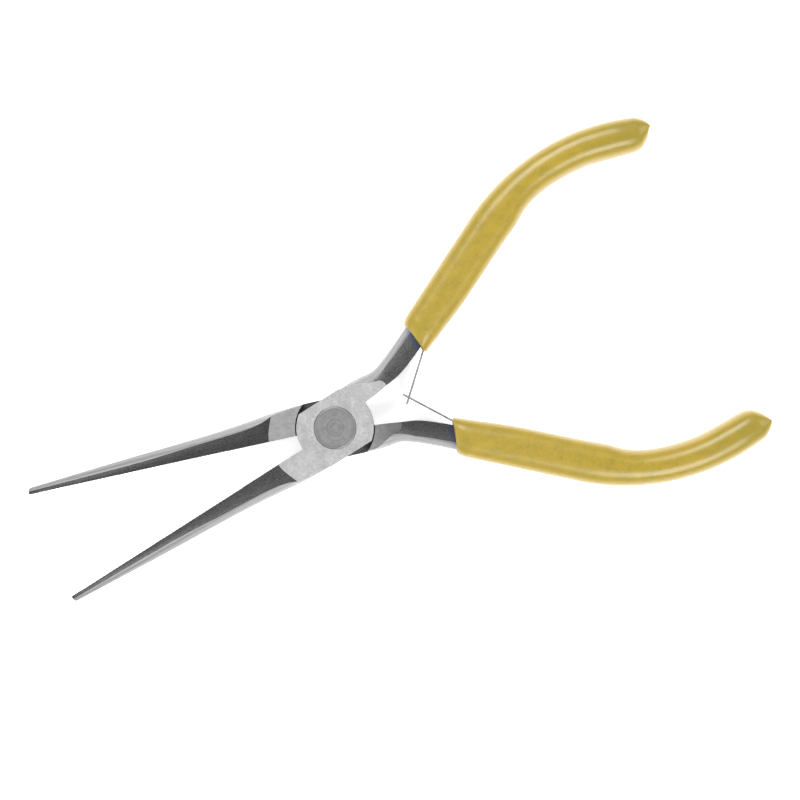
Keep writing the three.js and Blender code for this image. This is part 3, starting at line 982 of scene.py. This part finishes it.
def leaf_line():
    """Centre line of a leaf, as pairs of a distance along it from the root and the point there."""
    free = np.array([math.cos(LEAF_FREE_SLOPE), math.sin(LEAF_FREE_SLOPE)])
    root = np.array([LEAF_ROOT.x, LEAF_ROOT.y])
    bend_start = root + HANDLE_ALONG * LEAF_BEND_REACH
    bend_end = root + free * LEAF_BEND_REACH
    seat = [
        (-d, root + HANDLE_ALONG * d)
        for d in np.linspace(LEAF_SEAT_LENGTH, LEAF_BEND_REACH, 14)[:-1]
    ]
    reach = np.linspace(-LEAF_BEND_REACH, LEAF_BEND_REACH, 13)
    bend = list(zip(reach, quadratic(bend_start, root, bend_end, len(reach))))
    tongue_root = LEAF_FREE_LENGTH - TONGUE_LENGTH
    slot_end = LEAF_FREE_LENGTH - SLOT_END_BAR
    even = np.round(np.arange(LEAF_BEND_REACH + 0.3, tongue_root, LEAF_STEP), 4)
    near_tip = [tongue_root, slot_end - SLOT_LENGTH, 11.4, 11.9, slot_end, LEAF_FREE_LENGTH]
    return seat + bend + [(d, root + free * d) for d in sorted({*even, *near_tip})]


def leaf(name, half_frame, tongue):
    """A leaf spring as a strip of cells, without those of the slot or beside the tongue."""
    line = leaf_line()
    columns = [-LEAF_WIDTH / 2, -SLOT_WIDTH / 2, -TONGUE_WIDTH / 2, 0]
    columns += [-c for c in reversed(columns[:-1])]
    points = np.array([p for _, p in line])
    tangents = np.gradient(points, axis=0)
    tangents /= np.linalg.norm(tangents, axis=1)[:, None]
    left = np.stack([-tangents[:, 1], tangents[:, 0]], 1)

    def present(i, j):
        if not (0 <= i < len(line) - 1 and 0 <= j < len(columns) - 1):
            return False
        along = (line[i][0] + line[i + 1][0]) / 2
        beside = abs(columns[j] + columns[j + 1]) / 2
        if tongue:
            return along < LEAF_FREE_LENGTH - TONGUE_LENGTH or beside < TONGUE_WIDTH / 2
        from_tip = LEAF_FREE_LENGTH - along
        in_slot = SLOT_END_BAR < from_tip < SLOT_END_BAR + SLOT_LENGTH
        return not (in_slot and beside < SLOT_WIDTH / 2)

    verts = []
    for side in (-1, 1):
        for point, out in zip(points, left):
            x, y = point + out * side * LEAF_THICKNESS / 2
            verts += [(x, y, MIDDLE + c) for c in columns]
    across = len(columns)
    sheet = len(line) * across

    def corner(i, j, side):
        return i * across + j + side * sheet

    faces = []
    for i in range(len(line) - 1):
        for j in range(across - 1):
            if not present(i, j):
                continue
            cell = [(i, j), (i + 1, j), (i + 1, j + 1), (i, j + 1)]
            faces.append([corner(*place, 0) for place in cell])
            faces.append([corner(*place, 1) for place in [cell[0], *reversed(cell[1:])]])
            for beside, a, b in (
                ((i, j - 1), (i, j), (i + 1, j)),
                ((i, j + 1), (i + 1, j + 1), (i, j + 1)),
                ((i - 1, j), (i, j + 1), (i, j)),
                ((i + 1, j), (i + 1, j), (i + 1, j + 1)),
            ):
                if not present(*beside):
                    faces.append([corner(*a, 0), corner(*a, 1), corner(*b, 1), corner(*b, 0)])
    obj = mesh_object(name, verts, faces)
    cleaned(obj, 0)
    turned_outwards(obj)
    eased(obj, 0.05, 40)
    dress(obj, SPRING)
    smooth_by_angle(obj, 30)
    keep_place(obj)
    return set_in_part(obj, half_frame)


# ---------------------------------------------------------------- build

VINYL = vinyl()
RIVET = turned_rivet(0.265)
SPRING = spring_strip(0.33)
HIDDEN_STEEL = plain_steel("hidden_rivet_steel", PLAIN_TONE, 0.4)

# Both halves are the same steel: the rear half's cheeks, its tang end and its flanks are given
# darker tones than the front's, as painted shade.
front_finishes = half_materials("front", cheek_tone=0.53, dark_end=None, flank_tone=0.06)
rear_finishes = half_materials("rear", cheek_tone=0.38, dark_end=0.18, flank_tone=0.046)
front_steel = set_in_part(forged_half("front_forging", front_finishes), FRONT_FRAME)
rear_steel = set_in_part(forged_half("rear_forging", rear_finishes), REAR_FRAME)
front_sleeve = set_in_part(sleeve("front_sleeve"), FRONT_FRAME)
rear_sleeve = set_in_part(sleeve("rear_sleeve"), REAR_FRAME)
rivet_body = rivet()

for piece, body, node, slot in (
    (front_steel, "front", "front_half", "forged_steel"),
    (rear_steel, "rear", "rear_half", "forged_steel"),
    (front_sleeve, "front", "front_grip", "yellow_vinyl"),
    (rear_sleeve, "rear", "rear_grip", "yellow_vinyl"),
    (rivet_body, "front", "pivot_rivet", "rivet_steel"),
):
    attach(piece, body)
    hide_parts(node)

# Each leaf is set in the part's frame at its half's side; it is not attached to a body.
for name, side, node, half_frame, tongue in (
    ("tongue_leaf", "front", "tongue_leaf_spring", FRONT_FRAME, True),
    ("slotted_leaf", "rear", "slotted_leaf_spring", REAR_FRAME, False),
):
    strip = leaf(name, half_frame, tongue)
    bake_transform(strip)
    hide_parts(node)

for node in ("front_spring_rivet", "rear_spring_rivet"):
    dress(frame["nodes"][node], HIDDEN_STEEL)

# ---------------------------------------------------------------- stage, light and camera

FLOOR_DROP = 0.0001
FLOOR_GLOW = 0.52
DOME_AT_HORIZON = 0.92
DOME_OVERHEAD = 0.62

STRIP_TILT = math.radians(38)
STRIP_LEAN = -0.06
STRIP_DISTANCE = 1.2
STRIP_SIZE = (0.52, 0.66)
STRIP_WATTS = 9.7
FILL_TILT = math.radians(48)
FILL_DISTANCE = 1.5
FILL_SIZE = (0.8, 0.8)
FILL_WATTS = 6

CAMERA_AIM = Vector((-0.01414, -0.00021, MIDDLE * MM))
CAMERA_TURN = math.radians(22.45)
VIEW_WIDTH = 0.1616


def floor():
    """A plain pale floor, just under the part. Its faint glow keeps the shadows soft."""
    reach = 2.0
    obj = mesh_object(
        "floor",
        [(-reach, -reach, 0), (reach, -reach, 0), (reach, reach, 0), (-reach, reach, 0)],
        [(0, 1, 2, 3)],
    )
    obj.location.z = -FLOOR_DROP
    m = Material("pale_floor", Roughness=0.9)
    m.shader.inputs["Specular IOR Level"].default_value = 0.0
    cloud = m.noise(m.object_mm(), 0.02, 2)
    m.set("Base Color", m.mix(m.range(cloud, 0.3, 0.7, 0, 1), grey(0.93), grey(0.95)))
    m.shader.inputs["Emission Color"].default_value = (1, 1, 1, 1)
    m.shader.inputs["Emission Strength"].default_value = FLOOR_GLOW
    dress(obj, m.material)


def soft_light(name, towards, distance, size, watts):
    """A rectangle light aimed at the joint from a direction."""
    data = bpy.data.lights.new(name, "AREA")
    data.shape = "RECTANGLE"
    data.size, data.size_y = size
    data.energy = watts
    obj = bpy.data.objects.new(name, data)
    bpy.context.scene.collection.objects.link(obj)
    direction = Vector(towards).normalized()
    obj.location = direction * distance
    along = Vector((1, 0, 0))
    side = direction.cross(along).normalized()
    along = side.cross(direction).normalized()
    obj.matrix_world = Matrix(
        [(*row, place) for row, place in zip(np.stack([along, side, direction], 1), obj.location)]
        + [(0, 0, 0, 1)]
    )


def world():
    """A pale dome, a little dimmer straight overhead than round the horizon."""
    scene_world = bpy.data.worlds.new("pale_dome")
    bpy.context.scene.world = scene_world
    scene_world.use_nodes = True
    nodes, links = scene_world.node_tree.nodes, scene_world.node_tree.links
    background = nodes["Background"]
    background.inputs["Color"].default_value = (1, 1, 1, 1)
    coordinates = nodes.new("ShaderNodeTexCoord")
    split = nodes.new("ShaderNodeSeparateXYZ")
    height = nodes.new("ShaderNodeMapRange")
    height.inputs["From Min"].default_value = 0.15
    height.inputs["From Max"].default_value = 1
    height.inputs["To Min"].default_value = DOME_AT_HORIZON
    height.inputs["To Max"].default_value = DOME_OVERHEAD
    links.new(coordinates.outputs["Generated"], split.inputs["Vector"])
    links.new(split.outputs["Z"], height.inputs["Value"])
    links.new(height.outputs["Result"], background.inputs["Strength"])


def camera():
    """Straight down on the flat side, turned so that the jaws point to the lower left."""
    right = Vector((-math.cos(CAMERA_TURN), math.sin(CAMERA_TURN), 0))
    up = Vector((-math.sin(CAMERA_TURN), -math.cos(CAMERA_TURN), 0))
    data = bpy.data.cameras.new("camera")
    data.sensor_width = 36
    data.lens = 100
    distance = VIEW_WIDTH * data.lens / data.sensor_width
    data.clip_start = 0.01
    obj = bpy.data.objects.new("camera", data)
    bpy.context.scene.collection.objects.link(obj)
    back = Vector((0, 0, 1))
    place = CAMERA_AIM + back * distance
    obj.matrix_world = Matrix(
        [(right[i], up[i], back[i], place[i]) for i in range(3)] + [(0, 0, 0, 1)]
    )
    bpy.context.scene.camera = obj


floor()
for name, side in (("strip_front_side", -1), ("strip_rear_side", 1)):
    towards = (STRIP_LEAN, side * math.sin(STRIP_TILT), math.cos(STRIP_TILT))
    soft_light(name, towards, STRIP_DISTANCE, STRIP_SIZE, STRIP_WATTS)
for name, side in (("fill_tip_side", 1), ("fill_handle_side", -1)):
    towards = (side * math.sin(FILL_TILT), 0, math.cos(FILL_TILT))
    soft_light(name, towards, FILL_DISTANCE, FILL_SIZE, FILL_WATTS)
world()
camera()
bpy.context.scene.view_settings.view_transform = "Standard"

bpy.context.view_layer.update()
